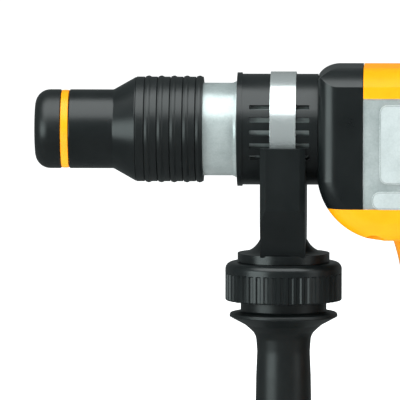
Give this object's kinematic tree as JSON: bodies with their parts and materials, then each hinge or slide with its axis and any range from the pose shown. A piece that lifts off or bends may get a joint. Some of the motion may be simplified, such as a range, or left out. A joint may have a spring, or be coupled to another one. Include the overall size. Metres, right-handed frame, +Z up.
{
  "type": "demolition hammer",
  "caption": "L-shaped demolition hammer with upright motor, pull-back tool sleeve, swivelling side handle and D-shaped rear handle.",
  "frame": {"origin": "centre of the tool socket's mouth, on the hammer axis", "axes": "+X back along the hammer axis towards the rear handle, +Z up from the motor to the top cover, +Y to the user's right"},
  "size_m": [0.4498, 0.0926, 0.2667],
  "materials": {
    "black_plastic": "satin moulded glass-filled plastic",
    "yellow_plastic": "satin moulded plastic",
    "orange_plastic": "satin moulded plastic",
    "black_rubber": "moulded rubber",
    "cast_aluminium": "bead-blasted casting",
    "band_steel": "polished band",
    "machined_steel": "ground",
    "dark_steel": "blackened",
    "lamination_steel": "stacked laminations",
    "copper": "enamelled wire",
    "bronze": "sintered",
    "carbon": "pressed carbon",
    "fan_plastic": "glass-filled nylon",
    "nitrile": "smooth"
  },
  "bodies": {
    "machine": {"barrel": "cast_aluminium", "vent_sleeve": "black_plastic", "front_bush": "bronze", "cylinder": "machined_steel", "case_screws": "dark_steel", "gear_housing": "cast_aluminium", "crankcase_lid": "cast_aluminium", "bearing_bridge": "cast_aluminium", "front_cover": "black_plastic", "top_cover": "yellow_plastic", "rear_cover": "black_plastic", "motor_housing": "yellow_plastic", "motor_cap": "black_plastic", "field_core": "lamination_steel", "field_windings": "copper", "brush_holders": "bronze", "brush_caps": "black_plastic", "crank_bearing_upper": "machined_steel", "crank_bearing_lower": "machined_steel", "motor_bearing_upper": "machined_steel", "motor_bearing_lower": "machined_steel", "handle_left_shell": "black_plastic", "handle_right_shell": "black_plastic", "handle_grip": "black_rubber", "switch_module": "fan_plastic", "cord_inlet": "black_rubber", "handle_screws": "dark_steel"},
    "tool_spindle": {"tool_holder": "machined_steel", "dust_cap": "black_rubber", "colour_ring": "orange_plastic", "sleeve_spring": "machined_steel"},
    "sleeve": {"lock_sleeve": "black_plastic", "sleeve_grip": "black_rubber", "cam_ring": "machined_steel"},
    "left_bar": {"lock_bar_left": "machined_steel"},
    "right_bar": {"lock_bar_right": "machined_steel"},
    "anvil": {"beat_piece": "machined_steel"},
    "striker": {"ram": "machined_steel", "ram_oring": "nitrile"},
    "driver": {"piston": "cast_aluminium", "piston_oring": "nitrile", "wrist_pin": "machined_steel"},
    "rod": {"connecting_rod": "cast_aluminium"},
    "crank": {"crankshaft": "machined_steel", "crank_gear": "machined_steel"},
    "armature": {"armature_shaft": "machined_steel", "armature_core": "lamination_steel", "armature_windings": "copper", "commutator": "copper", "fan": "fan_plastic"},
    "left_brush": {"brush_left": "carbon"},
    "right_brush": {"brush_right": "carbon"},
    "trigger_rocker": {"trigger": "orange_plastic"},
    "button": {"lock_button": "orange_plastic"},
    "dial": {"speed_dial": "orange_plastic"},
    "side_handle": {"handle_band": "band_steel", "clamp_bolt": "machined_steel", "handle_bracket": "black_plastic", "side_grip": "black_rubber"},
    "wheel": {"clamp_wheel": "black_plastic"}
  },
  "joints": [
    {"name": "tool_holder_turn", "type": "hinge", "parent": "machine", "child": "tool_spindle", "pos_m": [0.05, 0, 0], "axis": [1, 0, 0], "continuous": true},
    {"name": "sleeve_slide", "type": "slide", "parent": "tool_spindle", "child": "sleeve", "axis": [1, 0, 0], "range_m": [0, 0.009], "stiffness_N_per_m": 900, "springref_m": -0.012, "deforming": ["sleeve_spring"]},
    {"name": "lock_bar_left_slide", "type": "slide", "parent": "tool_spindle", "child": "left_bar", "axis": [0, -1, 0], "range_m": [0, 0.0022]},
    {"name": "lock_bar_right_slide", "type": "slide", "parent": "tool_spindle", "child": "right_bar", "axis": [0, 1, 0], "range_m": [0, 0.0022]},
    {"name": "beat_piece_slide", "type": "slide", "parent": "tool_spindle", "child": "anvil", "axis": [1, 0, 0], "range_m": [-0.005, 0]},
    {"name": "piston_slide", "type": "slide", "parent": "machine", "child": "driver", "axis": [1, 0, 0], "range_m": [-0.024, 0]},
    {"name": "ram_slide", "type": "slide", "parent": "machine", "child": "striker", "axis": [1, 0, 0], "range_m": [-0.024, 0]},
    {"name": "rod_swing", "type": "hinge", "parent": "driver", "child": "rod", "pos_m": [0.1977, 0, 0], "axis": [0, 0, 1], "range_deg": [-11.5, 11.5]},
    {"name": "crank_spin", "type": "hinge", "parent": "machine", "child": "crank", "pos_m": [0.2437, 0, -0.03], "axis": [0, 0, 1], "continuous": true},
    {"name": "armature_spin", "type": "hinge", "parent": "machine", "child": "armature", "pos_m": [0.2797, 0, -0.1], "axis": [0, 0, 1], "continuous": true},
    {"name": "trigger_pull", "type": "hinge", "parent": "machine", "child": "trigger_rocker", "pos_m": [0.404, 0, -0.012], "axis": [0, -1, 0], "range_deg": [0, 8], "stiffness_Nm_per_rad": 1.2, "springref_deg": -17.19},
    {"name": "lock_button_press", "type": "slide", "parent": "machine", "child": "button", "axis": [0, 1, 0], "range_m": [0, 0.003], "stiffness_N_per_m": 300, "springref_m": -0.004},
    {"name": "speed_dial_turn", "type": "hinge", "parent": "machine", "child": "dial", "pos_m": [0.3587, 0, 0.027], "axis": [0, 1, 0], "range_deg": [0, 300]},
    {"name": "brush_left_slide", "type": "slide", "parent": "machine", "child": "left_brush", "axis": [0, -1, 0], "range_m": [0, 0.007], "stiffness_N_per_m": 150, "springref_m": -0.02},
    {"name": "brush_right_slide", "type": "slide", "parent": "machine", "child": "right_brush", "axis": [0, 1, 0], "range_m": [0, 0.007], "stiffness_N_per_m": 150, "springref_m": -0.02},
    {"name": "side_handle_swivel", "type": "hinge", "parent": "machine", "child": "side_handle", "pos_m": [0.1567, 0, 0], "axis": [1, 0, 0], "continuous": true},
    {"name": "clamp_wheel_turn", "type": "hinge", "parent": "side_handle", "child": "wheel", "pos_m": [0.1567, 0, -0.1], "axis": [0, 0, 1], "range_deg": [0, 1440]}
  ],
  "couplings": [
    {"joint": "lock_bar_left_slide", "follows": "sleeve_slide", "ratio": 0.24444},
    {"joint": "lock_bar_right_slide", "follows": "sleeve_slide", "ratio": 0.24444},
    {"joint": "ram_slide", "follows": "piston_slide", "ratio": 1},
    {"joint": "crank_spin", "follows": "armature_spin", "ratio": -0.14286}
  ]
}
